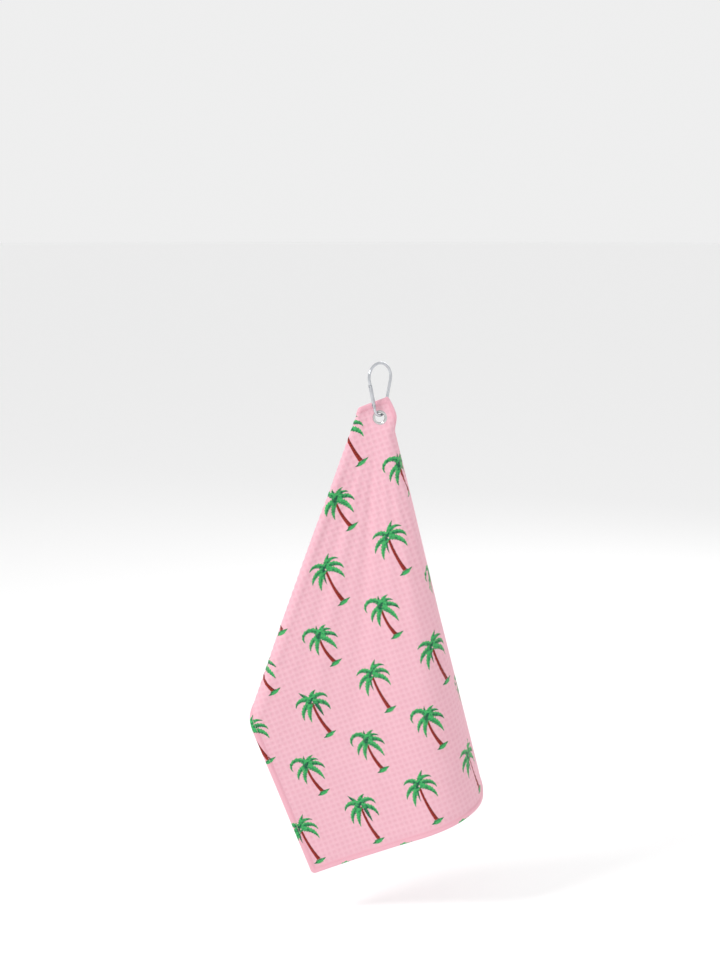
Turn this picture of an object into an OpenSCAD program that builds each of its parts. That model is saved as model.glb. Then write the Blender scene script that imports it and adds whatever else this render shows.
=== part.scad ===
// Golf towel: a waffle cloth with a bound hem and a corner grommet, hung on a pear-shaped
// carabiner. Millimetres. The origin is where the carabiner's crown rests on what it hangs from,
// +Z is up and the printed side of the cloth faces -Y.

/* [Towel] */
// Width of the cloth, laid flat
towel_w = 350; // [340:1:360]
// Length of the cloth, laid flat
towel_l = 600; // [560:5:620]
// Thickness of the waffle cloth
cloth_t = 1.6; // [1.2:0.1:2]
// Width of the binding sewn round the edge
hem_w = 8; // [6:0.5:10]
// Thickness of the binding and the cloth inside it
hem_t = 3; // [2.6:0.1:3.4]
// Thickness of the sewing thread
thread_t = 0.5; // [0.4:0.1:0.7]

/* [Grommet] */
// Distance of the grommet's centre from the right edge
grommet_in_u = 25; // [23:1:27]
// Distance of the grommet's centre from the top edge
grommet_in_v = 23; // [22:1:25]
// Radius of the hole
hole_r = 6.5; // [6.4:0.1:6.8]
// Outer radius of the flanges
flange_r = 10; // [9.6:0.1:10.5]
// Thickness of the sheet metal
metal_t = 0.6; // [0.5:0.1:0.8]

/* [Carabiner] */
// Overall height
clip_h = 75; // [72:1:80]
// Overall width across the crown
clip_w = 42; // [38:1:44]
// Outer width of the narrow bend
bend_w = 21.8; // [20.6:0.2:23]
// Diameter of the bent rod
rod_d = 4; // [3.6:0.1:4.2]
// Turn of the carabiner's plane from the plane of the grommet
clip_turn = 50; // [48:1:60]
// Diameter of the gate
gate_d = 5; // [4.8:0.1:5.2]

/* [Drape] */
// Place across the cloth of the point from which the cloth fans out
fan_u = 345; // [343:1:347]
// Height of that point above the top edge
fan_rise = 25; // [23:1:27]
// Direction from that point of the straight line where the drape is set out
mid_angle = 30; // [29:0.5:31]
// Slope of that line from plumb, towards +X
mid_slope = -9; // [-12:0.5:-6]
// Lean of that line towards the back
mid_lean = 0; // [-2:0.5:2]
// Turn of the cloth about that line
mid_roll = -10; // [-12:0.5:-8]
// How far up that line the left part fans out from instead
left_rise = 80; // [70:5:90]
// Turn of the cloth in its own plane at the grommet
seat_turn = 21; // [20:0.5:22]
// Scale of distances up and right from the grommet, where the cloth stays flat for longer
seat_scale = 0.7; // [0.6:0.05:0.75]
// The cloth to the right of that line: arc of the fan and turn to the back over it
right_bends = [[14, -13], [12, 97], [20, 60]];
// The cloth to the left of that line: front, fold, flap and the flap's free corner
left_bends = [[9, -7], [4, 176], [14, -4], [10, -110], [16, -60]];

/* [Hidden] */
$fn = 64;

silver = [0.80, 0.81, 0.83];
pink = [0.97, 0.74, 0.80];

// ---- The carabiner's outline, in its own plane: h across, z up ----
rod_r = rod_d / 2;
crown_r = clip_w / 2 - rod_r;
bend_r = bend_w / 2 - rod_r;
centres = clip_h - rod_d - crown_r - bend_r;
crown_z = rod_r - crown_r;
bend_z = crown_z - centres;
splay = asin((crown_r - bend_r) / centres);
arm_l = centres * cos(splay);
rod_low_z = bend_z - bend_r;
// The straight stretches are a hair thicker and run a little into the bends.
straight_r = rod_r + 0.05;
overlap = 0.5;

// Places along the gate's arm, from where the narrow bend ends
tongue_t = 1.6;
tongue_w = 1.6 * rod_r;
slot_t = 1.8;
gate_r = gate_d / 2;
rivet_s = 7;
rivet_r = 0.9;
rivet_play = 0.05;
tongue_r = 2.2;
shoulder_s = rivet_s - gate_r - 0.3;
gate_end_s = arm_l - 5.4;
nose_s = gate_end_s + 0.6;
latch_s = gate_end_s - 1.6;
latch_r = 0.7;
latch_play = 0.15;
latch_wall = 0.75;
chamber_r = 1.5;
chamber_end_s = 22;
plunger_s = rivet_s + tongue_r + 0.15;
plunger_l = 3;
stem_r = 0.65;
stem_l = 2.5;

module in_clip_plane() {
    rotate([0, 0, clip_turn]) children();
}

// Z runs up the gate's arm and X points into the loop.
module on_gate_arm() {
    in_clip_plane()
        translate([-bend_r * cos(splay), 0, bend_z - bend_r * sin(splay)])
            rotate([0, -splay, 0]) children();
}

// A piece of the bent rod: an arc in the XZ plane from one angle to another.
module rod_arc(z, r, from, to) {
    translate([0, 0, z]) rotate([90, 0, 0]) rotate([0, 0, from])
        rotate_extrude(angle = to - from, $fn = 96) translate([r, 0]) circle(r = rod_r, $fn = 40);
}

// A flat tongue in the carabiner's plane.
module tongue() {
    rotate([90, 0, 0]) translate([0, 0, -tongue_t / 2]) linear_extrude(tongue_t) children();
}

module carabiner_frame() {
    color(silver) {
        in_clip_plane() {
            rod_arc(crown_z, crown_r, -splay, 180 + splay);
            rod_arc(bend_z, bend_r, 180 + splay, 360 - splay);
            translate([bend_r * cos(splay), 0, bend_z - bend_r * sin(splay)])
                rotate([0, splay, 0]) translate([0, 0, -overlap])
                    cylinder(r = straight_r, h = arm_l + 2 * overlap, $fn = 40);
        }
        on_gate_arm() {
            hinge_end();
            nose_end();
        }
    }
}

module hinge_end() {
    translate([0, 0, -overlap]) cylinder(r = straight_r, h = shoulder_s + overlap, $fn = 40);
    difference() {
        tongue() {
            translate([0, rivet_s]) circle(r = tongue_r);
            translate([-tongue_w / 2, shoulder_s - overlap]) square([tongue_w, rivet_s - shoulder_s]);
        }
        translate([0, 0, rivet_s]) rotate([90, 0, 0])
            cylinder(r = rivet_r + rivet_play, h = 3 * tongue_t, center = true, $fn = 40);
    }
}

// The nose's tongue has a notch, open towards the loop, for the latch pin.
module nose_end() {
    notch_r = latch_r + latch_play;
    low = latch_s - notch_r - latch_wall;
    translate([0, 0, nose_s])
        cylinder(r = straight_r, h = arm_l + overlap - nose_s, $fn = 40);
    tongue() difference() {
        translate([-tongue_w / 2, low]) square([tongue_w, nose_s + overlap - low]);
        translate([0, latch_s]) circle(r = notch_r, $fn = 32);
        translate([0, latch_s - notch_r]) square([rod_r, 2 * notch_r]);
    }
}

// A slot through the gate in the carabiner's plane.
module gate_slot(from, to) {
    translate([-2 * gate_r, -slot_t / 2, from]) cube([4 * gate_r, slot_t, to - from]);
}

module gate_tube() {
    color(silver) on_gate_arm() difference() {
        union() {
            translate([0, 0, rivet_s]) cylinder(r = gate_r, h = gate_end_s - rivet_s);
            intersection() {
                translate([0, 0, rivet_s - gate_r]) cylinder(r = gate_r, h = gate_r + 0.2);
                translate([0, 0, rivet_s]) rotate([90, 0, 0])
                    cylinder(r = gate_r, h = 3 * gate_r, center = true);
            }
        }
        gate_slot(0, rivet_s + tongue_r + 0.7);
        gate_slot(latch_s - 2, gate_end_s + overlap);
        translate([0, 0, rivet_s + 1]) cylinder(r = chamber_r, h = chamber_end_s - rivet_s - 1);
        translate([0, 0, rivet_s]) rotate([90, 0, 0])
            cylinder(r = rivet_r, h = 3 * gate_r, center = true, $fn = 40);
        translate([0, 0, latch_s]) rotate([90, 0, 0])
            cylinder(r = latch_r, h = 3 * gate_r, center = true, $fn = 32);
    }
}

module gate_rivet() {
    head_r = rivet_r + 0.6;
    head_h = 0.5;
    color(silver) on_gate_arm() translate([0, 0, rivet_s]) rotate([90, 0, 0]) {
        cylinder(r = rivet_r, h = 2 * gate_r, center = true, $fn = 40);
        for (side = [0, 180]) rotate([side, 0, 0]) translate([0, 0, gate_r - 0.1])
            cylinder(r1 = head_r, r2 = rivet_r, h = head_h, $fn = 40);
    }
}

module latch_pin() {
    color(silver) on_gate_arm() translate([0, 0, latch_s]) rotate([90, 0, 0])
        cylinder(r = latch_r, h = 2 * gate_r - 0.6, center = true, $fn = 32);
}

module gate_plunger() {
    color(silver) on_gate_arm() {
        translate([0, 0, plunger_s]) cylinder(r = chamber_r - 0.1, h = plunger_l);
        translate([0, 0, plunger_s + plunger_l]) cylinder(r = stem_r, h = stem_l, $fn = 32);
    }
}

// A round wire swept along a helix.
module gate_spring() {
    wire_r = 0.2;
    coil_r = 1.1;
    turns = 9;
    per_turn = 16;
    sides = 6;
    end_gap = wire_r + 0.02;
    low = plunger_s + plunger_l + end_gap;
    rise = chamber_end_s - end_gap - low;
    n = turns * per_turn;
    points = [
        for (i = [0 : n], k = [0 : sides - 1])
            let (turn = 360 * i / per_turn, ring = 360 * k / sides)
                let (r = coil_r + wire_r * cos(ring))
                    [r * cos(turn), r * sin(turn), low + rise * i / n + wire_r * sin(ring)]
    ];
    color("dimgray") on_gate_arm() polyhedron(points, tube_faces(n + 1, sides), convexity = 8);
}

// Faces of a tube of n rings with flat ends.
function tube_faces(n, sides) = concat(
    [[for (k = [0 : sides - 1]) k]],
    [[for (k = [sides - 1 : -1 : 0]) (n - 1) * sides + k]],
    [for (i = [0 : n - 2], k = [0 : sides - 1])
        let (a = i * sides + k, b = i * sides + (k + 1) % sides) [a, a + sides, b + sides, b]]
);

// Faces of a tube of n rings that closes on itself.
function loop_faces(n, sides) = [
    for (i = [0 : n - 1], k = [0 : sides - 1])
        let (j = (i + 1) % n, m = (k + 1) % sides)
            each [[i * sides + k, j * sides + k, j * sides + m],
                  [i * sides + k, j * sides + m, i * sides + m]]
];

// ---- The drape: the flat cloth (u across, v up) set out in space ----
// The cloth is a fan of straight lines from a point, bent only between one line and the next, so
// no length in it changes. A frame holds a line's direction, the way across it to the left and
// the way to the back.
fan = [fan_u, towel_l + fan_rise];
grommet_flat = [towel_w - grommet_in_u, towel_l - grommet_in_v];
grommet_drop = 2.9;
grommet_z = rod_low_z - grommet_drop;
seat_flat_r = flange_r + 1;
seat_blend_r = 32;
// The cloth's own edge, inside the fold of the binding
edge_in = 0.8;

function spun(v, k, a) = v * cos(a) + cross(k, v) * sin(a) + k * (k * v) * (1 - cos(a));

function frame_spun(f, w, share) =
    let (n = norm(w)) [for (v = f) spun(v, w / n, share * n)];

function frame_bent(f, bend, share, side) =
    frame_spun(f, side * (bend[0] * f[2] + bend[1] * f[0]), share);

function frame_at(f, bends, a, side, i = 0) =
    a <= bends[i][0] || i == len(bends) - 1
        ? frame_bent(f, bends[i], a / bends[i][0], side)
        : frame_at(frame_bent(f, bends[i], 1, side), bends, a - bends[i][0], side, i + 1);

mid_line = [sin(mid_slope) * cos(mid_lean), sin(mid_lean), -cos(mid_slope) * cos(mid_lean)];
mid_left = [-cos(mid_slope), 0, -sin(mid_slope)];
mid_frame = [for (v = [mid_line, mid_left, cross(mid_line, mid_left)])
    spun(v, mid_line, mid_roll)];
left_fan = fan + left_rise * [sin(mid_angle), cos(mid_angle)];

function angle_from(p, q) = atan2(p[0] - q[0], p[1] - q[1]);

function fanned(q) =
    let (a = angle_from(fan, q) - mid_angle)
        a <= 0
            ? norm(q - fan) * frame_at(mid_frame, right_bends, -a, -1)[0]
            : let (b = angle_from(left_fan, q) - mid_angle)
                norm(q - left_fan) * frame_at(mid_frame, left_bends, b, 1)[0]
                - left_rise * mid_line;

grommet_at = [0, 0, grommet_z];
fan_at = grommet_at - fanned(grommet_flat);

// Round the grommet the cloth lies flat between its flanges.
function seated(q) =
    let (d = q - grommet_flat)
        grommet_at + d[0] * [cos(seat_turn), 0, sin(seat_turn)]
        + d[1] * [-sin(seat_turn), 0, cos(seat_turn)];

function smooth(x) = let (t = min(max(x, 0), 1)) t * t * (3 - 2 * t);

function from_grommet(q) =
    norm([for (x = q - grommet_flat) x > 0 ? seat_scale * x : x]);

function draped(q) =
    let (share = smooth((from_grommet(q) - seat_flat_r) / (seat_blend_r - seat_flat_r)))
        share * (fan_at + fanned(q)) + (1 - share) * seated(q);

function back_of(q) =
    let (e = 0.4,
         across = draped(q + [e, 0]) - draped(q - [e, 0]),
         up = draped(q + [0, e]) - draped(q - [0, e]),
         n = cross(up, across))
        n / norm(n);

function offset_point(q, depth) = draped(q) + depth * back_of(q);

// The lines of the fan that cut the cloth up, closer where it bends.
right_lines = [
    -9, -6, -3, -1.5, -0.8, angle_from(fan, [towel_w - edge_in, edge_in]), 1, 2.5,
    for (a = [4 : 1 : 16]) a,
    19, 22.5, 26, angle_from(fan, [edge_in, edge_in])
];
left_lines = [
    30, 33, 36,
    for (a = [39 : 0.5 : 43]) a,
    for (a = [46.5 : 3.5 : 57]) a,
    for (a = [58.25 : 1.25 : 67]) a,
    70, 73, 76
];

// Nearest and farthest distance along a line of the fan that lies in the cloth.
function near_end(p, a) =
    max((p[1] - (towel_l - edge_in)) / cos(a),
        a > 0 ? (p[0] - (towel_w - edge_in)) / sin(a) : 0);
function far_end(p, a) =
    min((p[1] - edge_in) / cos(a),
        a > 0 ? (p[0] - edge_in) / sin(a) : (p[0] - (towel_w - edge_in)) / sin(a));

module towel_cloth() {
    steps = 16;
    lines = concat([for (a = right_lines) [fan, a]], [for (a = left_lines) [left_fan, a]]);
    n = len(lines);
    row = steps + 1;
    flat = [
        for (line = lines)
            let (near = near_end(line[0], line[1]), far = far_end(line[0], line[1]))
                for (j = [0 : steps])
                    line[0] - (near + (far - near) * pow(j / steps, 1.5))
                        * [sin(line[1]), cos(line[1])]
    ];
    points = concat([for (q = flat) offset_point(q, -cloth_t / 2)],
                    [for (q = flat) offset_point(q, cloth_t / 2)]);
    back = len(flat);
    faces = concat(
        [for (i = [0 : n - 2], j = [0 : steps - 1])
            let (a = i * row + j, b = a + row)
                each [[a, b, b + 1], [a, b + 1, a + 1],
                      [back + a, back + b + 1, back + b], [back + a, back + a + 1, back + b + 1]]],
        [for (i = [0 : n - 2])
            let (a = i * row, b = a + row, c = a + steps, d = c + row)
                each [[a, back + a, back + b], [a, back + b, b],
                      [c, back + d, back + c], [c, d, back + d]]],
        [for (j = [0 : steps - 1])
            let (a = j, b = (n - 1) * row + j)
                each [[a, a + 1, back + a + 1], [a, back + a + 1, back + a],
                      [b, back + b + 1, b + 1], [b, back + b, back + b + 1]]]
    );
    color(pink) difference() {
        polyhedron(points, faces, convexity = 10);
        translate(grommet_at) rotate([90, 0, 0])
            cylinder(r = barrel_r + 0.1, h = 4 * cloth_t, center = true);
    }
}

// Shares of each side of the cloth where the binding is cut up: top, left, bottom and right.
// The top side bends sharply near the grommet.
side_shares = [
    [for (s = [0 : 0.006 : 0.2]) s, for (s = [0.215 : 0.02 : 0.98]) s],
    [for (s = [0 : 0.0125 : 0.99]) s],
    [for (s = [0 : 0.02 : 0.99]) s],
    [for (s = [0 : 0.025 : 0.99]) s]
];

function corners(inset) = [
    [towel_w - inset, towel_l - inset], [inset, towel_l - inset], [inset, inset],
    [towel_w - inset, inset]
];

function edge_point(side, share, inset) =
    let (c = corners(inset)) c[side] + share * (c[(side + 1) % 4] - c[side]);

// A closed loop round the edge, with the same section all the way: [inset, depth] points.
function edge_loop(section) = [
    for (side = [0 : 3], share = side_shares[side], s = section)
        offset_point(edge_point(side, share, s[0]), s[1])
];
loop_n = len([for (side = side_shares, share = side) 1]);

module hem_binding() {
    outer = hem_t / 2;
    inner = cloth_t / 2;
    section = [
        [0, -outer], [0, outer], [hem_w, outer], [hem_w, inner],
        [edge_in, inner], [edge_in, -inner], [hem_w, -inner], [hem_w, -outer]
    ];
    color([0.96, 0.66, 0.75])
        polyhedron(edge_loop(section), loop_faces(loop_n, len(section)), convexity = 12);
}

module hem_stitching() {
    line_in = 0.8 * hem_w;
    half = thread_t / 2;
    color([0.98, 0.80, 0.85]) for (face = [-1, 1]) {
        at = face * (hem_t / 2 + half);
        section = [
            [line_in - half, at], [line_in, at + half], [line_in + half, at], [line_in, at - half]
        ];
        polyhedron(edge_loop(section), loop_faces(loop_n, 4), convexity = 12);
    }
}

// The front flange, domed, with the barrel that goes through the cloth and rolls out behind.
barrel_r = hole_r + metal_t;
module grommet_eyelet() {
    face = cloth_t / 2;
    crown = metal_t + 0.5;
    back = face + metal_t + 0.12;
    roll_r = 0.85;
    dome = [
        for (i = [12 : -1 : 0])
            [hole_r + (flange_r - hole_r) * i / 12, face + 0.1 + crown * sin(15 * i)]
    ];
    rolled = [
        for (a = [180 : 18 : 360])
            [hole_r + roll_r + roll_r * cos(a), -back + roll_r * sin(a)]
    ];
    barrel = [[barrel_r, -back], [barrel_r, face], [flange_r, face]];
    color(silver) translate(grommet_at) rotate([90, 0, 0]) rotate_extrude($fn = 96)
        polygon(concat(dome, rolled, barrel));
}

module grommet_washer() {
    face = cloth_t / 2;
    rim_t = metal_t / 2;
    bore_r = barrel_r + 0.05;
    color(silver) translate(grommet_at) rotate([90, 0, 0]) rotate_extrude($fn = 96)
        polygon([
            [bore_r, -face], [flange_r, -face], [flange_r, -face - rim_t],
            [flange_r - metal_t, -face - metal_t], [bore_r, -face - metal_t - 0.1]
        ]);
}

carabiner_frame();
gate_tube();
gate_rivet();
latch_pin();
gate_spring();
gate_plunger();
grommet_eyelet();
grommet_washer();
towel_cloth();
hem_binding();
hem_stitching();
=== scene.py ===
"""A golf towel hanging from a carabiner: its cloth, binding, stitches, metals, camera and light."""

import math

import bpy
import numpy as np
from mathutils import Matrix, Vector


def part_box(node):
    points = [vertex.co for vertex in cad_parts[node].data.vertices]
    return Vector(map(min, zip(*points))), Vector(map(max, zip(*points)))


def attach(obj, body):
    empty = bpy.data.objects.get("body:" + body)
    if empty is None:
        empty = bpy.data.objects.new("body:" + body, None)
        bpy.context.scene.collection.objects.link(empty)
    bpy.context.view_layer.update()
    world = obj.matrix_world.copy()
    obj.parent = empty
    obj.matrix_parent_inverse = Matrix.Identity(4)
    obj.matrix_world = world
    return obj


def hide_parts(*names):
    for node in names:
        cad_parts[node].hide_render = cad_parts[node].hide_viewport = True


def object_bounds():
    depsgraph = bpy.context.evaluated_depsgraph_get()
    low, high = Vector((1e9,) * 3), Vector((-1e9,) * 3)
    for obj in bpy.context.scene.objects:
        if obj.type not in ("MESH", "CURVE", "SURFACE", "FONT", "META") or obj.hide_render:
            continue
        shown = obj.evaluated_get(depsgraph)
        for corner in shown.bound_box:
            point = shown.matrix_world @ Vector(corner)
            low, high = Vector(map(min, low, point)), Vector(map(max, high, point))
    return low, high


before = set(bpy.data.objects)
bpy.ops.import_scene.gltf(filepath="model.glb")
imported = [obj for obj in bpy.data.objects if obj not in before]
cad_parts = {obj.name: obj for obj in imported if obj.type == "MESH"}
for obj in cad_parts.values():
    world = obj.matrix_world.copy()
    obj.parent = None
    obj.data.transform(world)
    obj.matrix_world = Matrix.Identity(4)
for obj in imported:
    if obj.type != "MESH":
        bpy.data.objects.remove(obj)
cad_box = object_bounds()

# ---- Sizes of the flat cloth, in millimetres: u runs across it and v up it ----
MM = 0.001
TOWEL_W = 350.0
TOWEL_L = 600.0
CLOTH_T = 1.6
EDGE_IN = 0.8
HEM_W = 8.0
HEM_T = 3.0
CORNER_R = 6.0
GROMMET_FLAT = np.array([325.0, 577.0])
FLANGE_R = 10.0
CLOTH_HOLE_R = 8.0
HOLE_SEED_R = 1.5
# The top, left, bottom and right sides
RIM_LENGTHS = (TOWEL_W, TOWEL_L, TOWEL_W, TOWEL_L)

# ---- The drape, from the same few numbers as the CAD model: each bend is (arc, turn) ----
# The fan's lines run from FAN. Its middle line goes down and to the left, MID_ANGLE off plumb in the
# flat cloth and MID_SLOPE in space. To the left of it the lines meet LEFT_RISE above FAN.
# Up to SEAT_FLAT_R from the grommet the cloth is flat, and from SEAT_BLEND_R on it is free.
FAN = np.array([345.0, 625.0])
MID_ANGLE = 30.0
MID_SLOPE = -9.0
MID_ROLL = -10.0
LEFT_RISE = 80.0
SEAT_TURN = 21.0
SEAT_FLAT_R = 11.0
SEAT_BLEND_R = 32.0
SEAT_SCALE = 0.7
RIGHT_BENDS = [(14, -13), (12, 97), (20, 60)]
LEFT_BENDS = [(9, -7), (4, 176), (14, -4), (10, -110), (16, -60)]

# ---- The weave and the print ----
CELLS_U = 46
CELLS_V = 76
WAFFLE_U = (TOWEL_W - 2 * EDGE_IN) / CELLS_U
WAFFLE_V = (TOWEL_L - 2 * EDGE_IN) / CELLS_V
SAMPLES_PER_CELL = 5
PIT_HALF_T = 0.35
RIDGE_HALF_T = 1.2
HEM_BLEND = 3.0
FLANGE_BLEND = 5.0
RIPPLE_H = 1.3
STITCH_PITCH = 3.4
STITCH_L = 2.7
STITCH_R = 0.28
STITCH_IN = 0.8 * HEM_W
STITCH_RINGS = 5
STITCH_SIDES = 6

# Every other row of palms is shifted by ODD_SHIFT from the row that starts at PRINT_U, PRINT_V.
PRINT_U = 2.5
PRINT_V = 9.0
PRINT_PITCH_U = 92.5
PRINT_PITCH_V = 175.4
ODD_SHIFT = (49.0, 96.5)
ROOM_BELOW_PALM = 20.0
BROAD_EVERY = 3.0
LEAF_NOTCHES = 8.0
TRUNK_RINGS = 13.0
TRUNK_HALF_WIDTHS = {"Top": 1.7, "Foot": 3.0}
PRINT_SHARPNESS = 3.0
# The print lies a little askew. These say how far out it is at the cloth's edges: a stretch grows
# along its own direction, a lean along the other one, a taper along both, and the bow from the
# cloth's middle to both ends.
STRETCH_U = -5.7
LEAN_U = 11.4
TAPER_U = -11.0
STRETCH_V = 20.7
LEAN_V = -16.8
TAPER_V = -16.0
BOW_V = 11.5


# ---- The drape's shape ----
def unit(v):
    return v / np.linalg.norm(v, axis=-1, keepdims=True)


def smooth(x):
    t = np.clip(x, 0, 1)
    return t * t * (3 - 2 * t)


def spun(v, axis, degrees):
    """v turned about a unit axis by each of the angles."""
    a = np.radians(degrees)[:, None]
    along = axis * (axis @ v)
    return v * np.cos(a) + np.cross(axis, v) * np.sin(a) + along * (1 - np.cos(a))


def bent(lines, bend, share, side):
    """The frame of a line of the fan, carried through a share of a bend."""
    axis = side * (bend[0] * lines[2] + bend[1] * lines[0])
    size = np.linalg.norm(axis)
    return [spun(v, axis / size, share * size) for v in lines]


def middle_frame():
    slope = math.radians(MID_SLOPE)
    line = np.array([math.sin(slope), 0, -math.cos(slope)])
    left = np.array([-math.cos(slope), 0, -math.sin(slope)])
    roll = np.array([MID_ROLL])
    return [spun(v, line, roll)[0] for v in (line, left, np.cross(line, left))]


MIDDLE = middle_frame()


def line_directions(bends, angle, side):
    """Directions in space of the fan's lines, at these angles from the middle one."""
    out = np.zeros((len(angle), 3))
    lines, start = MIDDLE, 0.0
    for i, bend in enumerate(bends):
        upto = np.inf if i == len(bends) - 1 else start + bend[0]
        inside = (angle >= start) & (angle <= upto)
        out[inside] = bent(lines, bend, (angle[inside] - start) / bend[0], side)[0]
        lines = [v[0] for v in bent(lines, bend, np.ones(1), side)]
        start += bend[0]
    return out


def angle_from(point, q):
    """Degrees from the fan's middle line to each flat point, seen from a point; left is more."""
    return np.degrees(np.arctan2(point[0] - q[:, 0], point[1] - q[:, 1])) - MID_ANGLE


def fanned(q):
    """The free cloth: straight lines from a point beside the grommet, raised for the left part."""
    tilt = math.radians(MID_ANGLE)
    left_fan = FAN + LEFT_RISE * np.array([math.sin(tilt), math.cos(tilt)])
    angle = angle_from(FAN, q)
    left = angle > 0
    out = np.zeros((len(q), 3))
    right_q, left_q = q[~left], q[left]
    reach = np.linalg.norm(right_q - FAN, axis=1)[:, None]
    out[~left] = reach * line_directions(RIGHT_BENDS, -angle[~left], -1)
    reach = np.linalg.norm(left_q - left_fan, axis=1)[:, None]
    left_angle = np.maximum(angle_from(left_fan, left_q), 0)
    out[left] = reach * line_directions(LEFT_BENDS, left_angle, 1) - LEFT_RISE * MIDDLE[0]
    return out


def grommet_centre():
    low, high = (np.array(corner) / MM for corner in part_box("grommet_eyelet"))
    return np.array([(low[0] + high[0]) / 2, 0, (low[2] + high[2]) / 2])


GROMMET_AT = grommet_centre()
FAN_AT = GROMMET_AT - fanned(GROMMET_FLAT[None])[0]


def seated(q):
    """Flat between the grommet's flanges."""
    turn = math.radians(SEAT_TURN)
    across = np.array([math.cos(turn), 0, math.sin(turn)])
    up = np.array([-math.sin(turn), 0, math.cos(turn)])
    d = q - GROMMET_FLAT
    return GROMMET_AT + d[:, :1] * across + d[:, 1:] * up


def from_grommet(q):
    """Distance from the grommet, scaled down above it and to its right, to keep those flat."""
    d = q - GROMMET_FLAT
    return np.linalg.norm(np.where(d > 0, SEAT_SCALE * d, d), axis=1)


def draped(q):
    """The cloth's middle surface in space, blended from the flat seat into the fan."""
    share = smooth((from_grommet(q) - SEAT_FLAT_R) / (SEAT_BLEND_R - SEAT_FLAT_R))[:, None]
    return share * (FAN_AT + fanned(q)) + (1 - share) * seated(q)


def back_of(q):
    """The way to the back of the cloth."""
    step = 0.4
    across = draped(q + [step, 0]) - draped(q - [step, 0])
    up = draped(q + [0, step]) - draped(q - [0, step])
    return unit(np.cross(up, across))


def ripple(q):
    """Soft folds that run down from the grommet, in millimetres to the back."""
    reach = np.linalg.norm(q - FAN, axis=1)
    angle = angle_from(FAN, q) + MID_ANGLE
    share = smooth((reach - 70) / 130) * (0.35 + 0.65 * smooth((560 - reach) / 260))
    wave = np.sin(np.radians(angle * 30 + 20)) + 0.5 * np.sin(np.radians(angle * 71 + reach / 4))
    return RIPPLE_H * share * wave


def rounded(q):
    """Rounds the corners of the flat cloth, by drawing each corner's square into a quarter disc."""
    low = np.array([CORNER_R, CORNER_R])
    high = np.array([TOWEL_W - CORNER_R, TOWEL_L - CORNER_R])
    out = np.maximum(low - q, 0) + np.maximum(q - high, 0)
    both = (out > 0).all(axis=1)
    away = out[both]
    share = away.max(axis=1) / np.linalg.norm(away, axis=1)
    inner = np.clip(q[both], low, high)
    q = q.copy()
    q[both] = inner + (q[both] - inner) * share[:, None]
    return q


def placed(q, depth):
    """The cloth's flat points in space, each this far behind its middle surface."""
    q = rounded(q)
    return draped(q) + (depth + ripple(q))[:, None] * back_of(q)


# ---- Meshes ----
def make_piece(name, points, faces, material):
    mesh = bpy.data.meshes.new(name)
    mesh.from_pydata((points * MM).tolist(), [], faces)
    mesh.polygons.foreach_set("use_smooth", [True] * len(mesh.polygons))
    mesh.materials.append(material)
    mesh.update()
    piece = bpy.data.objects.new(name, mesh)
    bpy.context.scene.collection.objects.link(piece)
    return piece


def add_attribute(piece, name, kind, values):
    layer = piece.data.attributes.new(name, kind, "POINT")
    field = "vector" if kind == "FLOAT_VECTOR" else "value"
    layer.data.foreach_set(field, np.asarray(values, float).ravel())


def edge_distance(q):
    return np.minimum(np.minimum(q[:, 0], TOWEL_W - q[:, 0]),
                      np.minimum(q[:, 1], TOWEL_L - q[:, 1]))


def ridge(x, pitch):
    return (0.5 + 0.5 * np.cos(2 * np.pi * (x - EDGE_IN) / pitch)) ** 2


def relief(q):
    """Height of the waffle, 0 in the pits and 1 on the ridges."""
    wander = 0.25 * np.sin(q[:, 1] / 17 + 0.6 * np.sin(q[:, 0] / 23))
    stray = 0.25 * np.sin(q[:, 0] / 19 + 0.7 * np.sin(q[:, 1] / 29))
    walls = (1 - ridge(q[:, 0] + wander, WAFFLE_U)) * (1 - ridge(q[:, 1] + stray, WAFFLE_V))
    return 1 - walls


def pressed(q):
    """1 where the hem or the grommet presses the waffle flat."""
    at_hem = 1 - smooth((edge_distance(q) - HEM_W) / HEM_BLEND)
    from_middle = np.linalg.norm(q - GROMMET_FLAT, axis=1)
    at_grommet = 1 - smooth((from_middle - FLANGE_R) / FLANGE_BLEND)
    return np.maximum(at_hem, at_grommet)


def open_hole(q):
    """Draws the small gap at the grommet's middle out to the hole for its barrel."""
    reach_r = 2 * CLOTH_HOLE_R
    d = q - GROMMET_FLAT
    r = np.linalg.norm(d, axis=1)
    near = r < reach_r
    pushed = CLOTH_HOLE_R + (reach_r - CLOTH_HOLE_R) * r[near] / reach_r
    q = q.copy()
    q[near] = GROMMET_FLAT + d[near] * (pushed / np.maximum(r[near], 1e-6))[:, None]
    return q


def bridged(front, n):
    """Faces for both sides of a sheet and round its open edges; the back's points start at n."""
    open_edges = {}
    for face in front.tolist():
        for a, b in zip(face, face[1:] + face[:1]):
            if (b, a) in open_edges:
                del open_edges[b, a]
            else:
                open_edges[a, b] = True
    back = front[:, ::-1] + n
    rim = [[b, a, a + n, b + n] for a, b in open_edges]
    return front.tolist() + back.tolist() + rim


def flat_grid():
    """Flat points in a grid, with no faces at the grommet's middle, and the faces' corners."""
    columns = CELLS_U * SAMPLES_PER_CELL + 1
    rows = CELLS_V * SAMPLES_PER_CELL + 1
    u = np.linspace(EDGE_IN, TOWEL_W - EDGE_IN, columns)
    v = np.linspace(EDGE_IN, TOWEL_L - EDGE_IN, rows)
    flat = np.stack(np.meshgrid(u, v), axis=-1).reshape(-1, 2)
    corner = (np.arange(rows - 1)[:, None] * columns + np.arange(columns - 1)).ravel()
    faces = np.stack([corner, corner + 1, corner + columns + 1, corner + columns], axis=1)
    middles = flat[faces].mean(axis=1)
    faces = faces[np.linalg.norm(middles - GROMMET_FLAT, axis=1) > HOLE_SEED_R]
    used = np.unique(faces)
    renumber = np.zeros(len(flat), int)
    renumber[used] = np.arange(len(used))
    return flat[used], renumber[faces]


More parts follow.
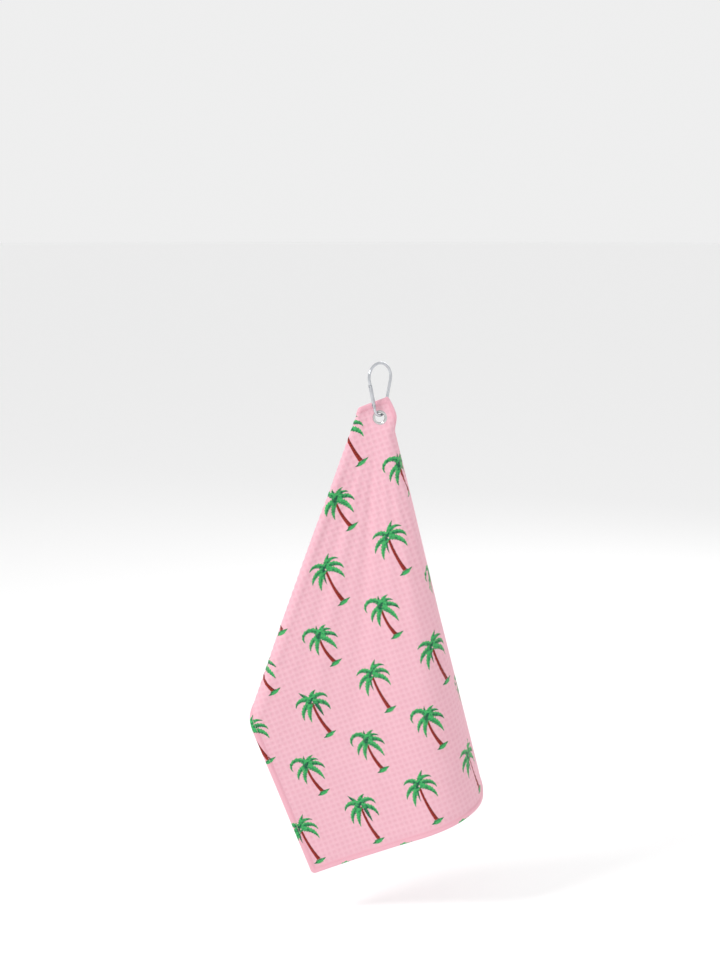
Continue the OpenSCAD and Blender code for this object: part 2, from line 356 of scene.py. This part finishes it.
def towel_cloth(material):
    flat, front = flat_grid()
    q = open_hole(flat)
    height = relief(q)
    press = pressed(q)
    woven = PIT_HALF_T + (RIDGE_HALF_T - PIT_HALF_T) * height
    half = (1 - press) * woven + press * CLOTH_T / 2
    points = np.concatenate([placed(q, -half), placed(q, half)])
    piece = make_piece("waffle_cloth", points, bridged(front, len(q)), material)
    face = np.repeat([1.0, 0.0], len(q))
    add_attribute(piece, "flat_mm", "FLOAT_VECTOR", np.column_stack([np.tile(q, (2, 1)), face]))
    # The waffle's relief height, 1 on the ridges and 0.6 where pressed flat, is kept for the painted
    # shade that darkens the pits.
    add_attribute(piece, "relief_shade", "FLOAT", np.tile((1 - press) * height + 0.6 * press, 2))
    return piece


def rim_stations(pitch):
    """Evenly spaced places round the edge: the side, the share of it, and the length run so far."""
    out, run = [], 0.0
    for side, length in enumerate(RIM_LENGTHS):
        n = round(length / pitch)
        out += [(side, i / n, run + length * i / n) for i in range(n)]
        run += length
    return out


def rim_point(side, share, inset):
    corners = [(TOWEL_W - inset, TOWEL_L - inset), (inset, TOWEL_L - inset),
               (inset, inset), (TOWEL_W - inset, inset)]
    a, b = np.array(corners[side]), np.array(corners[(side + 1) % 4])
    return a + share * (b - a)


def hem_section(pinch):
    """The folded tape, as (inset, depth) points; pinch is 1 where a stitch pulls it in."""
    face = HEM_T / 2
    groove = face - 0.25 - 0.3 * pinch
    front = [(HEM_W, -CLOTH_T / 2), (HEM_W + 0.1, -1.05), (HEM_W - 0.4, -1.3),
             (STITCH_IN + 0.6, -face + 0.1), (STITCH_IN, -groove), (STITCH_IN - 0.7, -face + 0.05),
             (4.6, -face - 0.1), (2.8, -face - 0.12), (1.4, -face + 0.05), (0.5, -0.95),
             (0.08, -0.45)]
    inside = [(EDGE_IN, CLOTH_T / 2), (EDGE_IN, -CLOTH_T / 2)]
    back = [(inset, -depth) for inset, depth in reversed(front)]
    return front + [(0, 0)] + back + inside


def hem_binding(material):
    stations = rim_stations(STITCH_PITCH / 4)
    flat, depth = [], []
    for side, share, run in stations:
        pinch = 0.5 + 0.5 * math.cos(2 * math.pi * run / STITCH_PITCH)
        for inset, deep in hem_section(pinch):
            flat.append(rim_point(side, share, inset))
            depth.append(deep)
    k = len(hem_section(0))
    n = len(stations)
    points = placed(np.array(flat), np.array(depth))
    faces = [[i * k + j, i * k + (j + 1) % k, (i + 1) % n * k + (j + 1) % k, (i + 1) % n * k + j]
             for i in range(n) for j in range(k)]
    piece = make_piece("hem_tape", points, faces, material)
    face = (np.array(depth) < 0).astype(float)
    add_attribute(piece, "flat_mm", "FLOAT_VECTOR", np.column_stack([flat, face]))
    return piece


def across_rim(side, step):
    """A step inwards from one side of the cloth."""
    return step * np.array([(0, -1), (1, 0), (0, 1), (-1, 0)][side])


def stitch_points(side, middle, way):
    """Flat places and depths of one stitch's rings; way is -1 on the front and 1 on the back."""
    flat, depth = [], []
    for i in range(STITCH_RINGS):
        along = i / (STITCH_RINGS - 1)
        run = middle + (along - 0.5) * STITCH_L
        share = (run - STITCH_IN) / (RIM_LENGTHS[side] - 2 * STITCH_IN)
        bow = math.sin(math.pi * along)
        r = STITCH_R * (0.55 + 0.45 * bow)
        for j in range(STITCH_SIDES):
            turn = 2 * math.pi * j / STITCH_SIDES
            step = 0.25 * (along - 0.5) + r * math.cos(turn)
            flat.append(rim_point(side, share, STITCH_IN) + across_rim(side, step))
            depth.append(way * (HEM_T / 2 - 0.35 + 0.35 * bow + r * math.sin(turn)))
    return flat, depth


def stitch_faces(first, way):
    """Faces of one stitch whose points start at first: its sides, then its two ends."""
    n = STITCH_SIDES
    faces = []
    for a in range(first, first + (STITCH_RINGS - 1) * n, n):
        for b in range(n):
            p, q = a + b, a + (b + 1) % n
            faces.append([p, q, q + n, p + n])
    last = first + (STITCH_RINGS - 1) * n
    faces += [list(range(first, first + n))[::-1], list(range(last, last + n))]
    return faces if way < 0 else [face[::-1] for face in faces]


def hem_stitches(material):
    """One short length of thread for each stitch, on both faces."""
    flat, depth, faces = [], [], []
    for side, length in enumerate(RIM_LENGTHS):
        count = round((length - 2 * HEM_W) / STITCH_PITCH)
        for i in range(count):
            middle = HEM_W + (length - 2 * HEM_W) * (i + 0.5) / count
            for way in (-1, 1):
                faces += stitch_faces(len(flat), way)
                places, depths = stitch_points(side, middle, way)
                flat += places
                depth += depths
    return make_piece("hem_thread", placed(np.array(flat), np.array(depth)), faces, material)


# ---- Shader nodes ----
class Graph:
    """A node tree with short ways to add nodes; a value is a number, a tuple or a socket."""

    def __init__(self, tree):
        self.tree = tree

    def node(self, kind, **settings):
        node = self.tree.nodes.new("ShaderNode" + kind)
        for name, value in settings.items():
            setattr(node, name, value)
        return node

    def feed(self, socket, value):
        if isinstance(value, bpy.types.NodeSocket):
            self.tree.links.new(value, socket)
        else:
            socket.default_value = value

    def math(self, operation, *values, clamp=False):
        node = self.node("Math", operation=operation, use_clamp=clamp)
        for socket, value in zip(node.inputs, values):
            self.feed(socket, value)
        return node.outputs[0]

    def vector(self, operation, *values):
        node = self.node("VectorMath", operation=operation)
        for socket, value in zip(node.inputs, values):
            self.feed(socket, value)
        return node.outputs["Value" if operation == "LENGTH" else "Vector"]

    def mix(self, share, a, b):
        """A mix of two colours; the node numbers its sockets for colours 6, 7 and 2."""
        node = self.node("Mix", data_type="RGBA")
        self.feed(node.inputs["Factor"], share)
        self.feed(node.inputs[6], a)
        self.feed(node.inputs[7], b)
        return node.outputs[2]

    def split(self, vector):
        node = self.node("SeparateXYZ")
        self.feed(node.inputs[0], vector)
        return node.outputs

    def join(self, x, y, z=0.0):
        node = self.node("CombineXYZ")
        for socket, value in zip(node.inputs, (x, y, z)):
            self.feed(socket, value)
        return node.outputs[0]

    def noise(self, vector, scale, detail=2.0, roughness=0.5):
        node = self.node("TexNoise")
        self.feed(node.inputs["Vector"], vector)
        node.inputs["Scale"].default_value = scale
        node.inputs["Detail"].default_value = detail
        node.inputs["Roughness"].default_value = roughness
        return node.outputs["Fac"]

    def attribute(self, name):
        return self.node("Attribute", attribute_name=name)

    def bump(self, height, strength, distance):
        node = self.node("Bump")
        node.inputs["Strength"].default_value = strength
        node.inputs["Distance"].default_value = distance
        self.feed(node.inputs["Height"], height)
        return node.outputs["Normal"]


def new_material(name, **sockets):
    material = bpy.data.materials.new(name)
    material.use_nodes = True
    shader = material.node_tree.nodes["Principled BSDF"]
    for key, value in sockets.items():
        shader.inputs[key.replace("_", " ")].default_value = value
    return material, Graph(material.node_tree), shader


def linear(red, green, blue):
    """A display colour, 0 to 255, as the linear one that shaders take."""
    parts = [c / 255 for c in (red, green, blue)]
    return tuple(c / 12.92 if c < 0.04045 else ((c + 0.055) / 1.055) ** 2.4 for c in parts) + (1,)


PINK = linear(238, 188, 200)
# The pits' darker pink is painted shade in the waffle's recesses; the ridges get PINK.
PINK_PIT_SHADE = linear(232, 176, 190)
PINK_BACK = linear(241, 206, 213)
TAPE_PINK = linear(238, 184, 197)
TAPE_SHADE = linear(230, 168, 183)
THREAD_PINK = linear(236, 186, 198)
THREAD_SHADE = linear(222, 156, 174)
LEAF_LIGHT = linear(62, 176, 98)
LEAF_DARK = linear(6, 88, 62)
TRUNK_LIGHT = linear(162, 46, 30)
TRUNK_DARK = linear(84, 16, 18)

# ---- The palms, in millimetres from the middle of the grass that each stands on ----
# A leaf is an arc through three points, with its half width and how light it is.
UPRIGHT_PALM = {
    "trunk": ((-4.5, 53), (-4, 26), (0, 1)),
    "leaves": [
        ((-7.5, 55), (-10, 45), (-10.5, 32), 1.5, 0.0),
        ((-4.5, 56), (0.5, 66), (8.5, 76), 3.0, 0.8),
        ((-3.5, 57), (8.5, 66), (17.5, 61), 2.8, 0.7),
        ((-5.5, 57), (-15.5, 66.5), (-25.5, 62), 3.2, 0.65),
        ((-3.5, 56), (10.5, 57), (18.5, 44), 3.2, 0.6),
        ((-5.5, 56), (-19.5, 53), (-28.5, 41), 3.2, 0.75),
        ((-3.5, 55), (8.5, 47), (14.5, 30), 3.2, 0.9),
        ((-5.5, 55), (-15.5, 44), (-20.5, 27), 3.4, 0.9),
        ((-9.5, 53), (-5.5, 59), (0.5, 62), 2.6, 0.1),
    ],
}
SHORT_PALM = {
    "trunk": ((-6, 44), (-5.6, 21), (0, -1)),
    "leaves": [
        ((-5, 47.5), (-5, 55.5), (-3, 63.5), 2.2, 0.2),
        ((-6, 48.5), (-17, 60.5), (-25, 44.5), 3.0, 0.7),
        ((-4, 47.5), (3, 56.5), (10, 58.5), 3.0, 0.8),
        ((-4, 47.5), (6, 52.5), (14, 47.5), 2.6, 0.65),
        ((-4, 46.5), (9, 44.5), (17, 31.5), 3.2, 0.6),
        ((-6, 46.5), (-17, 42.5), (-24, 29.5), 3.0, 0.8),
        ((-6, 44.5), (-13, 34.5), (-16, 18.5), 2.9, 0.85),
        ((-4, 45.5), (5, 33.5), (10, 15.5), 3.3, 0.9),
        ((-8, 43.5), (-4, 49.5), (1, 51.5), 2.8, 0.1),
    ],
}
BROAD_PALM = {
    "trunk": ((-3, 54), (-3, 26), (2, 1)),
    "leaves": [
        ((1, 53), (2.5, 41), (4, 27), 2.4, 0.0),
        ((-4, 57), (-10, 68), (-15, 77), 2.6, 0.25),
        ((-3, 57), (2, 67), (9, 71), 3.4, 0.8),
        ((-5, 57), (-18, 63.5), (-27, 55), 3.3, 0.8),
        ((-2, 56), (10, 62), (19, 51), 3.3, 0.7),
        ((-2, 55), (11, 48), (16, 32), 3.3, 0.7),
        ((-5, 56), (-18, 48), (-23, 32), 3.2, 0.75),
        ((-5, 54), (-12, 42), (-15, 25), 3.1, 0.95),
        ((-8, 54), (-3, 59), (2, 61), 2.8, 0.1),
    ],
}
GRASS = [
    ((4, -1.5), (-3, -2.8), (-10, -3.2), 2.6, 0.35),
    ((-4, -2.4), (4, -1.2), (11, 0.5), 2.6, 0.75),
    ((-5, -1.5), (0, -1.6), (5, -1.2), 1.6, 0.9),
]


def arc_through(a, b, c):
    """Centre, radius, first angle and signed sweep of the arc through three points."""
    a, b, c = (np.array(p, float) for p in (a, b, c))
    rows = np.array([b - a, c - a]) * 2
    centre = np.linalg.solve(rows, [b @ b - a @ a, c @ c - a @ a])
    first, second, third = (math.atan2(*(p - centre)[::-1]) for p in (a, b, c))
    whole = 2 * math.pi
    sweep = (third - first) % whole
    if (second - first) % whole > sweep:
        sweep -= whole
    return centre, float(np.linalg.norm(a - centre)), first, sweep


def arc_group(name, numbers):
    """An empty group that paints over a colour along an arc, and what its paint needs."""
    tree = bpy.data.node_groups.new(name, "ShaderNodeTree")
    sockets = [("Colour", "Color"), ("Point", "Vector"), ("Centre", "Vector")]
    sockets += [(number, "Float") for number in ("Radius", "Start", "Sweep", *numbers)]
    for label, kind in sockets:
        tree.interface.new_socket(label, in_out="INPUT", socket_type="NodeSocket" + kind)
    tree.interface.new_socket("Colour", in_out="OUTPUT", socket_type="NodeSocketColor")
    g = Graph(tree)
    given = tree.nodes.new("NodeGroupInput").outputs
    away = g.vector("SUBTRACT", given["Point"], given["Centre"])
    x, y, _ = g.split(away)
    middle = g.math("MULTIPLY_ADD", given["Sweep"], 0.5, given["Start"])
    turn = g.math("WRAP", g.math("SUBTRACT", g.math("ARCTAN2", y, x), middle), math.pi, -math.pi)
    along = g.math("ADD", g.math("DIVIDE", turn, given["Sweep"]), 0.5, clamp=True)
    across = g.math("SUBTRACT", g.vector("LENGTH", away), given["Radius"])
    return tree, g, given, along, across


def finish_group(tree, g, colour):
    g.feed(tree.nodes.new("NodeGroupOutput").inputs["Colour"], colour)
    return tree


def leaf_group():
    """A leaf that is widest near the crown, with a notched edge, a dark rib and a dark lower side."""
    tree, g, given, along, across = arc_group("palm_leaf", ("Width", "Light"))
    rest = g.math("SUBTRACT", 1.0, along)
    base = g.math("POWER", g.math("ADD", along, 0.2), 0.4)
    bulge = g.math("MULTIPLY", base, g.math("POWER", rest, 0.9))
    notch = g.math("FRACT", g.math("MULTIPLY", along, LEAF_NOTCHES))
    edge = g.math("MULTIPLY_ADD", notch, -0.45, 1.2)
    full = g.math("MULTIPLY", g.math("MULTIPLY", bulge, 2.2), given["Width"])
    width = g.math("MULTIPLY", full, edge)
    inside = g.math("SUBTRACT", width, g.math("ABSOLUTE", across))
    started = g.math("GREATER_THAN", along, 0.001)
    mask = g.math("MULTIPLY", g.math("MULTIPLY", inside, PRINT_SHARPNESS, clamp=True), started)
    lean = g.math("DIVIDE", across, g.math("ADD", full, 0.3))
    rib = g.math("LESS_THAN", g.math("ABSOLUTE", g.math("ADD", across, 0.3)), 0.4)
    patch = g.math("SUBTRACT", g.noise(given["Point"], 0.3), 0.5)
    shade = g.math("MULTIPLY_ADD", lean, 0.6, given["Light"])
    shade = g.math("MULTIPLY_ADD", patch, 3.0, shade)
    shade = g.math("MULTIPLY_ADD", rib, -0.45, shade, clamp=True)
    green = g.mix(shade, LEAF_DARK, LEAF_LIGHT)
    return finish_group(tree, g, g.mix(mask, given["Colour"], green))


def trunk_group():
    """A trunk that widens to its foot, with rings across it and a dark side."""
    tree, g, given, along, across = arc_group("palm_trunk", ("Top", "Foot"))
    spread = g.math("SUBTRACT", given["Foot"], given["Top"])
    width = g.math("MULTIPLY_ADD", g.math("POWER", along, 1.6), spread, given["Top"])
    inside = g.math("SUBTRACT", width, g.math("ABSOLUTE", across))
    ends = g.math("MULTIPLY", g.math("GREATER_THAN", along, 0.001),
                  g.math("LESS_THAN", along, 0.999))
    mask = g.math("MULTIPLY", g.math("MULTIPLY", inside, PRINT_SHARPNESS, clamp=True), ends)
    slant = g.math("MULTIPLY", across, 0.09)
    rings = g.math("FRACT", g.math("MULTIPLY_ADD", along, TRUNK_RINGS, slant))
    ring = g.math("LESS_THAN", rings, 0.25)
    lean = g.math("DIVIDE", across, width)
    shade = g.math("MULTIPLY_ADD", lean, 0.35, 0.7)
    shade = g.math("MULTIPLY_ADD", ring, -0.5, shade, clamp=True)
    brown = g.mix(shade, TRUNK_DARK, TRUNK_LIGHT)
    return finish_group(tree, g, g.mix(mask, given["Colour"], brown))


def paint_arc(g, group, colour, point, arc, numbers):
    node = g.node("Group", node_tree=group)
    centre, radius, start, sweep = arc_through(*arc)
    g.feed(node.inputs["Colour"], colour)
    g.feed(node.inputs["Point"], point)
    node.inputs["Centre"].default_value = (*centre, 0)
    for name, value in dict(Radius=radius, Start=start, Sweep=sweep, **numbers).items():
        node.inputs[name].default_value = value
    return node.outputs["Colour"]


def paint_palm(g, groups, colour, point, palm):
    leaf, trunk = groups
    colour = paint_arc(g, trunk, colour, point, palm["trunk"], TRUNK_HALF_WIDTHS)
    for *arc, width, light in GRASS + palm["leaves"]:
        colour = paint_arc(g, leaf, colour, point, arc, {"Width": width, "Light": light})
    return colour


def lattice_point(g, u, v, u0, v0):
    """A place on the cloth, seen from the palm whose tile of a lattice from u0, v0 it is in."""
    half = PRINT_PITCH_U / 2
    top = PRINT_PITCH_V - ROOM_BELOW_PALM
    x = g.math("WRAP", g.math("SUBTRACT", u, u0), half, -half)
    y = g.math("WRAP", g.math("SUBTRACT", v, v0), top, -ROOM_BELOW_PALM)
    return g.join(x, y)


def askew(g, u, v):
    """The place in a straight print that shows at u, v; across and up run from -1 to 1."""
    across = g.math("MULTIPLY_ADD", u, 2 / TOWEL_W, -1.0)
    up = g.math("MULTIPLY_ADD", v, 2 / TOWEL_L, -1.0)
    both = g.math("MULTIPLY", across, up)
    u = g.math("MULTIPLY_ADD", across, STRETCH_U, u)
    u = g.math("MULTIPLY_ADD", up, LEAN_U, u)
    u = g.math("MULTIPLY_ADD", both, TAPER_U, u)
    v = g.math("MULTIPLY_ADD", up, STRETCH_V, v)
    v = g.math("MULTIPLY_ADD", across, LEAN_V, v)
    v = g.math("MULTIPLY_ADD", both, TAPER_V, v)
    v = g.math("MULTIPLY_ADD", g.math("MULTIPLY", up, up), BOW_V, v)
    return u, v


def printed(g, groups, u, v, ground):
    """The palms over a ground colour: short ones in the odd rows, broad or upright in the even."""
    u, v = askew(g, u, v)
    even = lattice_point(g, u, v, PRINT_U, PRINT_V)
    odd = lattice_point(g, u, v, PRINT_U + ODD_SHIFT[0], PRINT_V + ODD_SHIFT[1])
    from_first = g.math("SUBTRACT", u, PRINT_U - PRINT_PITCH_U / 2)
    column = g.math("FLOOR", g.math("DIVIDE", from_first, PRINT_PITCH_U))
    broad = g.math("COMPARE", g.math("FLOORED_MODULO", column, BROAD_EVERY), 1.0, 0.1)
    colour = paint_palm(g, groups, ground, odd, SHORT_PALM)
    upright = paint_palm(g, groups, colour, even, UPRIGHT_PALM)
    spread = paint_palm(g, groups, colour, even, BROAD_PALM)
    return g.mix(broad, upright, spread)


def threads(g, u, v, pitch):
    """A plain weave's height: threads both ways, over and under."""
    rate = 2 * math.pi / pitch
    across = g.math("SINE", g.math("MULTIPLY", u, rate))
    up = g.math("SINE", g.math("MULTIPLY", v, rate))
    return g.math("MULTIPLY", across, up)


def waffle_material(groups):
    material, g, shader = new_material(
        "waffle_weave", Roughness=0.92, Sheen_Weight=0.35, Sheen_Roughness=0.45,
        Specular_IOR_Level=0.25)
    shader.inputs["Sheen Tint"].default_value = linear(255, 225, 232)
    flat = g.attribute("flat_mm").outputs["Vector"]
    relief_shade = g.attribute("relief_shade").outputs["Fac"]
    u, v, face = g.split(flat)
    fuzz = g.noise(flat, 1.7, 4.0, 0.6)
    broad = g.noise(flat, 0.03, 2.0)
    # Painted shade: the ground is darker pink in the waffle's pits, from the relief height, with
    # random tone from the fuzz and broad noise on top.
    tone_and_pit_shade = g.math("MULTIPLY_ADD", g.math("SUBTRACT", fuzz, 0.5), 0.8, relief_shade)
    tone_and_pit_shade = g.math("MULTIPLY_ADD", g.math("SUBTRACT", broad, 0.5), 0.5, tone_and_pit_shade, clamp=True)
    ground = g.mix(tone_and_pit_shade, PINK_PIT_SHADE, PINK)
    wobble = g.math("MULTIPLY", g.math("SUBTRACT", g.noise(flat, 0.9, 2.0), 0.5), 0.9)
    print_u = g.math("ADD", u, wobble)
    print_v = g.math("SUBTRACT", v, wobble)
    front = printed(g, groups, print_u, print_v, ground)
    worn = g.math("MULTIPLY", g.math("GREATER_THAN", fuzz, 0.62), 0.22)
    front = g.mix(worn, front, ground)
    # The back's ground has the same painted shade in the pits, paler on the ridges, with the print
    # faintly showing through.
    back = g.mix(0.14, g.mix(tone_and_pit_shade, PINK, PINK_BACK), front)
    g.feed(shader.inputs["Base Color"], g.mix(face, back, front))
    height = g.math("MULTIPLY_ADD", threads(g, u, v, 0.62), 0.5, fuzz)
    g.feed(shader.inputs["Normal"], g.bump(height, 0.55, 0.00025))
    g.feed(shader.inputs["Roughness"], g.math("MULTIPLY_ADD", fuzz, 0.14, 0.83))
    return material


def tape_material(groups):
    material, g, shader = new_material(
        "hem_tape", Sheen_Weight=0.3, Sheen_Roughness=0.5, Specular_IOR_Level=0.25)
    flat = g.attribute("flat_mm").outputs["Vector"]
    u, v, face = g.split(flat)
    weave = threads(g, u, v, 0.8)
    fuzz = g.noise(flat, 1.1, 4.0, 0.6)
    share = g.math("MULTIPLY_ADD", weave, 0.12, fuzz, clamp=True)
    ground = g.mix(share, TAPE_SHADE, TAPE_PINK)
    front = printed(g, groups, u, v, ground)
    g.feed(shader.inputs["Base Color"], g.mix(face, g.mix(0.5, ground, PINK_BACK), front))
    height = g.math("MULTIPLY_ADD", weave, 0.6, fuzz)
    g.feed(shader.inputs["Normal"], g.bump(height, 0.5, 0.0002))
    g.feed(shader.inputs["Roughness"], g.math("MULTIPLY_ADD", fuzz, 0.15, 0.78))
    return material


def thread_material():
    material, g, shader = new_material(
        "sewing_thread", Sheen_Weight=0.25, Sheen_Roughness=0.4, Specular_IOR_Level=0.35)
    place = g.node("TexCoord").outputs["Object"]
    twist = g.noise(place, 2600.0, 2.0)
    g.feed(shader.inputs["Base Color"], g.mix(twist, THREAD_SHADE, THREAD_PINK))
    g.feed(shader.inputs["Roughness"], g.math("MULTIPLY_ADD", twist, 0.2, 0.55))
    g.feed(shader.inputs["Normal"], g.bump(twist, 0.4, 0.0001))
    return material


def metal_material(name, dark, light, roughness, stretch):
    """Metal with fine marks along one way, small stains and a varying polish."""
    material, g, shader = new_material(name, Metallic=1.0)
    place = g.node("TexCoord").outputs["Object"]
    marks = g.noise(g.vector("MULTIPLY", place, stretch), 900.0, 3.0, 0.6)
    stains = g.noise(place, 160.0, 3.0)
    share = g.math("MULTIPLY_ADD", g.math("SUBTRACT", stains, 0.5), 0.8, marks, clamp=True)
    g.feed(shader.inputs["Base Color"], g.mix(share, dark, light))
    g.feed(shader.inputs["Roughness"], g.math("MULTIPLY_ADD", stains, 0.16, roughness))
    g.feed(shader.inputs["Normal"], g.bump(marks, 0.12, 0.00008))
    return material


def dress(node, material):
    """Gives a node that keeps its CAD shape its material."""
    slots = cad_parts[node].data.materials
    slots.clear()
    slots.append(material)


# ---- The pieces ----
rod_metal = metal_material("polished_rod", linear(176, 179, 184), linear(216, 218, 222), 0.16,
                           (1, 1, 0.08))
gate_metal = metal_material("turned_gate", linear(170, 173, 178), linear(210, 212, 216), 0.24,
                            (0.1, 0.1, 1))
small_steel = metal_material("small_steel", linear(140, 142, 146), linear(190, 192, 196), 0.26,
                             (1, 1, 1))
nickel = metal_material("bright_nickel", linear(180, 180, 181), linear(222, 221, 219), 0.12,
                        (1, 1, 1))
dress("carabiner_frame", rod_metal)
dress("gate_tube", gate_metal)
for small in ("gate_rivet", "latch_pin", "gate_spring", "gate_plunger"):
    dress(small, small_steel)
for half in ("grommet_eyelet", "grommet_washer"):
    dress(half, nickel)

palm_groups = leaf_group(), trunk_group()
cloth = towel_cloth(waffle_material(palm_groups))
tape = hem_binding(tape_material(palm_groups))
thread = hem_stitches(thread_material())
for piece, node, slot in ((cloth, "towel_cloth", "waffle_cloth"),
                          (tape, "hem_binding", "hem_tape"),
                          (thread, "hem_stitching", "thread")):
    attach(piece, "towel")
    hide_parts(node)


# ---- Floor, light and camera ----
TOWEL_MIDDLE = (0.0, 0.03, -0.38)
FLOOR_GAP = 0.06
FLOOR_R = 40.0


def aim(thing, target):
    thing.rotation_euler = (Vector(target) - thing.location).to_track_quat("-Z", "Y").to_euler()


def soft_light(name, place, size, power):
    data = bpy.data.lights.new(name, "AREA")
    data.shape = "DISK"
    data.size = size
    data.energy = power
    light = bpy.data.objects.new(name, data)
    light.location = place
    aim(light, TOWEL_MIDDLE)
    bpy.context.scene.collection.objects.link(light)


def pale_floor(height):
    mesh = bpy.data.meshes.new("floor")
    turns = [math.radians(a) for a in range(0, 360, 6)]
    ring = [(FLOOR_R * math.cos(turn), FLOOR_R * math.sin(turn), height) for turn in turns]
    mesh.from_pydata(ring, [], [list(range(len(ring)))])
    material, _, _ = new_material("pale_floor", Base_Color=(0.97, 0.97, 0.97, 1), Roughness=0.8)
    mesh.materials.append(material)
    floor = bpy.data.objects.new("floor", mesh)
    bpy.context.scene.collection.objects.link(floor)


pale_floor(float(cad_box[0][2]) - FLOOR_GAP)
soft_light("key", (-1.7, -1.5, 1.5), 0.8, 34)
soft_light("fill", (1.9, -1.3, 0.5), 2.0, 3)
soft_light("behind", (0.6, 2.2, 1.2), 1.6, 14)

world = bpy.data.worlds.new("studio")
world.use_nodes = True
sky = world.node_tree.nodes["Background"]
sky.inputs["Color"].default_value = (1, 1, 1, 1)
sky.inputs["Strength"].default_value = 0.86
bpy.context.scene.world = world
bpy.context.scene.view_settings.view_transform = "Standard"

# The camera stands back from a point under the grommet, to the right and above. It aims a little
# to the left of the grommet and below it.
LENS = 68.81
SENSOR = 36.0
CAMERA_BACK = 2.54
CAMERA_TURN = math.radians(10)
CAMERA_RISE = math.radians(13.3)
AIM_LEFT = math.radians(0.6245)
AIM_BELOW = math.radians(1.951)
UNDER_GROMMET = 0.29

camera_data = bpy.data.cameras.new("camera")
camera_data.sensor_width = SENSOR
camera_data.lens = LENS
camera = bpy.data.objects.new("camera", camera_data)
level = CAMERA_BACK * math.cos(CAMERA_RISE)
height = float(GROMMET_AT[2]) * MM - UNDER_GROMMET + CAMERA_BACK * math.sin(CAMERA_RISE)
camera.location = (level * math.sin(CAMERA_TURN), -level * math.cos(CAMERA_TURN), height)
to_grommet = Vector(GROMMET_AT * MM) - camera.location
yaw = math.atan2(to_grommet.y, to_grommet.x) + AIM_LEFT
pitch = math.asin(to_grommet.z / to_grommet.length) - AIM_BELOW
ahead = Vector((math.cos(yaw) * math.cos(pitch), math.sin(yaw) * math.cos(pitch), math.sin(pitch)))
aim(camera, camera.location + ahead)
bpy.context.scene.collection.objects.link(camera)
bpy.context.scene.camera = camera
